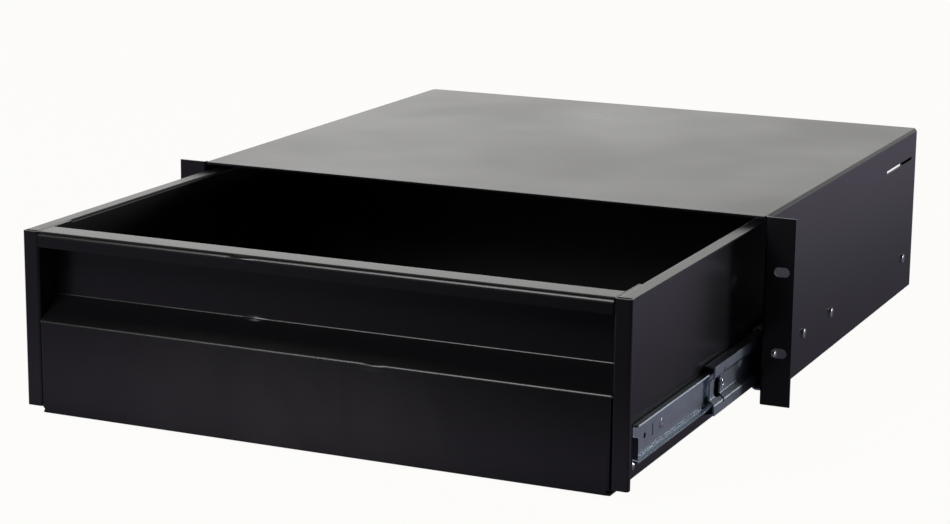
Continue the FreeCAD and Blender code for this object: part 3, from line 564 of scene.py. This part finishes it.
def ball_rows_tree():
    """Two parallel rows of balls: named inputs for start, pitch, number, row spacing and radius."""
    tree = bpy.data.node_groups.new("ball_rows", "GeometryNodeTree")
    sockets = [("Start", "NodeSocketVector"), ("Pitch", "NodeSocketFloat"), ("Balls", "NodeSocketInt"),
               ("Row Spacing", "NodeSocketFloat"), ("Radius", "NodeSocketFloat"),
               ("Finish", "NodeSocketMaterial")]
    tree.interface.new_socket("Geometry", in_out="OUTPUT", socket_type="NodeSocketGeometry")
    inputs = {name: tree.interface.new_socket(name, in_out="INPUT", socket_type=kind).identifier
              for name, kind in sockets}
    given = add(tree, "NodeGroupInput").outputs
    along = add(tree, "ShaderNodeCombineXYZ", links={"Y": given["Pitch"]})
    upward = add(tree, "ShaderNodeCombineXYZ", links={"Z": given["Row Spacing"]})
    second = add(tree, "ShaderNodeVectorMath", {"operation": "ADD"},
                 {0: given["Start"], 1: upward.outputs["Vector"]})
    joined = add(tree, "GeometryNodeJoinGeometry")
    for start in (given["Start"], second.outputs["Vector"]):
        line = add(tree, "GeometryNodeMeshLine", links={"Count": given["Balls"], "Start Location": start,
                                                        "Offset": along.outputs["Vector"]})
        tree.links.new(line.outputs["Mesh"], joined.inputs["Geometry"])
    ball = add(tree, "GeometryNodeMeshIcoSphere", {"Subdivisions": 4}, {"Radius": given["Radius"]})
    balls = add(tree, "GeometryNodeInstanceOnPoints", links={"Points": joined.outputs["Geometry"],
                                                             "Instance": ball.outputs["Mesh"]})
    real = add(tree, "GeometryNodeRealizeInstances", links={"Geometry": balls.outputs["Instances"]})
    round_off = add(tree, "GeometryNodeSetShadeSmooth", links={"Geometry": real.outputs["Geometry"]})
    finish = add(tree, "GeometryNodeSetMaterial", links={"Geometry": round_off.outputs["Geometry"],
                                                         "Material": given["Finish"]})
    add(tree, "NodeGroupOutput", links={"Geometry": finish.outputs["Geometry"]})
    return tree, inputs


BALL_ROWS, BALL_INPUTS = ball_rows_tree()


def finished_balls(node, body):
    """Round balls in the places of the CAD's faceted ones."""
    extents = [extent(points) for points in islands(node)]
    centres = [(low + high) / 2 for low, high in extents]
    radius = (extents[0][1].z - extents[0][0].z) / 2
    lower = sorted((c for c in centres if c.z < box_of(node)[2].z), key=lambda c: c.y)
    upper = max(centres, key=lambda c: c.z)
    values = {"Start": lower[0], "Pitch": lower[1].y - lower[0].y, "Balls": len(lower),
              "Row Spacing": upper.z - lower[0].z, "Radius": radius, "Finish": FINISHES[SLOTS[node]]}

    def grow(scratch):
        rows = scratch.modifiers.new("ball_rows", "NODES")
        rows.node_group = BALL_ROWS
        for name, value in values.items():
            rows[BALL_INPUTS[name]] = value
    shape = applied(bpy.data.meshes.new(node + "_rows"), grow)
    placed(shape, body, node)


# ---------------------------------------------------------------- the whole object

dressed("chassis_shell", "chassis")
dressed("drawer_tray", "drawer")
dressed("drawer_back", "drawer")
dressed("drawer_front", "drawer", material=FRONT_COAT)
copied("front_rivets", "drawer", blind_rivet)
copied("back_rivets", "drawer", blind_rivet)
for side in SIDES:
    dressed("slide_outer_" + side, "chassis", SLIDE_EDGE)
    dressed("slide_middle_" + side, "middle_" + side, SLIDE_EDGE)
    dressed("slide_inner_" + side, "drawer", SLIDE_EDGE)
    dressed("outer_ball_cage_" + side, "outer_cage_" + side, CAGE_EDGE)
    dressed("inner_ball_cage_" + side, "inner_cage_" + side, CAGE_EDGE)
    finished_balls("outer_balls_" + side, "outer_cage_" + side)
    finished_balls("inner_balls_" + side, "inner_cage_" + side)
    finished_eyelet("latch_eyelet_" + side, "middle_" + side)
    finished_bumper("slide_bumper_" + side, "chassis")
    copied("side_screws_" + side, "chassis", pan_screw)
    copied("drawer_screws_" + side, "drawer", pan_screw)
    corner_weld(side)

for name, node in frame["nodes"].items():
    node.data.materials.clear()
    node.data.materials.append(FINISHES[SLOTS[name]])


# ---------------------------------------------------------------- floor, light and camera

FLOOR_LEVEL = CAD_BOX[0][2] - 0.2 * MM
FLOOR_HALF = 12.0
PAPER = "#fffefc"
FLOOR_TINT = "#ebe2ff"
CAMERA_SHARE = 0.97             # of the floor's plain white that doesn't take shadows

# How strongly parts of the floor and backdrop are mirrored: from and to in metres or as a share
# of a direction, then the strengths at those two ends.
FAR_FLOOR_ACROSS = (-0.36, 0.10, 0.17, 0.0)
NEAR_FLOOR_ACROSS = (-0.25, 0.20, 0.36, 0.27)
NEAR_TO_FAR = (-0.29, -0.50, 0.0, 1.0)
# Painted shade: beside the chassis the mirrored floor is weakest next to its wall, in place of its shadow.
BESIDE_ACROSS = (0.22, 0.50, 0.13, 0.31)
BESIDE_ALONG = (-0.3, 1.0, 0.9, 1.3)
FRONT_TO_BESIDE = (-0.32, -0.20, 0.0, 1.0)
SKY_BEHIND = (-0.2, 0.75, 0.2, 1.42)
SKY_LEFT = (-0.45, -0.15, 1.0, 0.70)
SKY_LOW = (0.12, 0.42, 1.25, 0.25)
SKY_RIGHT = (0.05, 0.40, 1.0, 0.4)


def spread(tree, value, low, high, first, last):
    """Map Range that goes smoothly from first to last while the value goes from low to high."""
    made = add(tree, "ShaderNodeMapRange", {"interpolation_type": "SMOOTHSTEP", "From Min": low,
                                            "From Max": high, "To Min": first, "To Max": last},
               {"Value": value})
    return made.outputs["Result"]


def times(tree, one, two):
    """Product of two sockets."""
    return add(tree, "ShaderNodeMath", {"operation": "MULTIPLY"}, {0: one, 1: two}).outputs[0]


def make_floor():
    """Wide pale floor: white to the camera, a dim violet grey in the coat's reflections.

    The reflected floor carries painted shade: it is dimmest close to the chassis, standing in for the
    chassis's shadow there, and in front of the drawer's right half.
    """
    shape = bpy.data.meshes.new("floor")
    corners = [(FLOOR_HALF * x, FLOOR_HALF * y, FLOOR_LEVEL) for x, y in ((-1, -1), (1, -1), (1, 1), (-1, 1))]
    shape.from_pydata(corners, [], [(0, 1, 2, 3)])
    floor = bpy.data.objects.new("floor", shape)
    bpy.context.scene.collection.objects.link(floor)
    material = bpy.data.materials.new("pale_floor")
    material.use_nodes = True
    tree = material.node_tree
    tree.nodes.clear()
    rays = add(tree, "ShaderNodeLightPath").outputs
    place = add(tree, "ShaderNodeNewGeometry").outputs["Position"]
    parts = add(tree, "ShaderNodeSeparateXYZ", links={0: place}).outputs
    far = spread(tree, parts["X"], *FAR_FLOOR_ACROSS)
    close = spread(tree, parts["X"], *NEAR_FLOOR_ACROSS)
    in_front = add(tree, "ShaderNodeMix", {"data_type": "FLOAT"},
                   {0: spread(tree, parts["Y"], *NEAR_TO_FAR), 2: close, 3: far}).outputs[0]
    # Painted shade beside the chassis, standing in for its shadow on the floor.
    beside = times(tree, spread(tree, parts["X"], *BESIDE_ACROSS), spread(tree, parts["Y"], *BESIDE_ALONG))
    dimness = add(tree, "ShaderNodeMix", {"data_type": "FLOAT"},
                  {0: spread(tree, parts["Y"], *FRONT_TO_BESIDE), 2: in_front, 3: beside}).outputs[0]
    paper = add(tree, "ShaderNodeBsdfDiffuse", {"Color": linear("#e6e4e6")})
    white = add(tree, "ShaderNodeEmission", {"Color": linear(PAPER), "Strength": 1.0})
    dim = add(tree, "ShaderNodeEmission", {"Color": linear(FLOOR_TINT)}, {"Strength": dimness})
    share = add(tree, "ShaderNodeMath", {"operation": "MULTIPLY", 1: CAMERA_SHARE},
                {0: rays["Is Camera Ray"]})
    plain = add(tree, "ShaderNodeMixShader", links={0: share.outputs[0], 1: paper.outputs[0],
                                                    2: white.outputs[0]})
    mixed = add(tree, "ShaderNodeMixShader", links={0: rays["Is Glossy Ray"], 1: plain.outputs[0],
                                                    2: dim.outputs[0]})
    add(tree, "ShaderNodeOutputMaterial", links={"Surface": mixed.outputs[0]})
    shape.materials.append(material)


def make_world():
    """White backdrop: brightest low down behind and to the left, which the roof mirrors."""
    world = bpy.data.worlds.new("studio")
    bpy.context.scene.world = world
    world.use_nodes = True
    tree = world.node_tree
    tree.nodes.clear()
    rays = add(tree, "ShaderNodeLightPath").outputs
    way = add(tree, "ShaderNodeTexCoord").outputs["Generated"]
    parts = add(tree, "ShaderNodeSeparateXYZ", links={0: way}).outputs
    behind = spread(tree, parts["Y"], *SKY_BEHIND)
    for direction, fade in (("X", SKY_LEFT), ("Z", SKY_LOW), ("X", SKY_RIGHT)):
        behind = times(tree, behind, spread(tree, parts[direction], *fade))
    clear = add(tree, "ShaderNodeMath", {"operation": "MAXIMUM"},
                {0: rays["Is Camera Ray"], 1: rays["Is Transmission Ray"]})
    strength = add(tree, "ShaderNodeMix", {"data_type": "FLOAT", 3: 1.0}, {0: clear.outputs[0], 2: behind})
    sky = add(tree, "ShaderNodeBackground", {"Color": linear(PAPER)}, {"Strength": strength.outputs[0]})
    add(tree, "ShaderNodeOutputWorld", links={"Surface": sky.outputs[0]})


def soft_lamp(name, place, target, wide, watts):
    """White soft box at a place in metres, turned to its target; wide is its width and height."""
    lamp = bpy.data.lights.new(name, "AREA")
    lamp.shape = "RECTANGLE"
    lamp.size = wide[0]
    lamp.size_y = wide[1]
    lamp.energy = watts
    lamp.color = linear("#ffffff")[:3]
    holder = bpy.data.objects.new(name, lamp)
    holder.location = place
    holder.rotation_euler = (Vector(target) - Vector(place)).to_track_quat("-Z", "Y").to_euler()
    bpy.context.scene.collection.objects.link(holder)


CAMERA_LENS = 94.33
CAMERA_PLACE = (0.7209, -1.5922, 0.4109)
CAMERA_TURN = (77.139, -0.599, 24.403)


def make_camera():
    """Long lens from the front right, a little above the drawer."""
    camera = bpy.data.cameras.new("camera")
    camera.lens = CAMERA_LENS
    camera.sensor_width = 36.0
    camera.clip_end = 60.0
    holder = bpy.data.objects.new("camera", camera)
    holder.location = CAMERA_PLACE
    holder.rotation_euler = [math.radians(angle) for angle in CAMERA_TURN]
    bpy.context.scene.collection.objects.link(holder)
    bpy.context.scene.camera = holder


make_floor()
make_world()
soft_lamp("key", (-0.62, -1.75, 1.42), (0.05, -0.25, 0), (1.0, 0.8), 23)
soft_lamp("side", (2.4, 2.2, 0.36), (0.2, 0, 0), (0.5, 0.4), 18)
make_camera()
bpy.context.scene.view_settings.view_transform = "Standard"
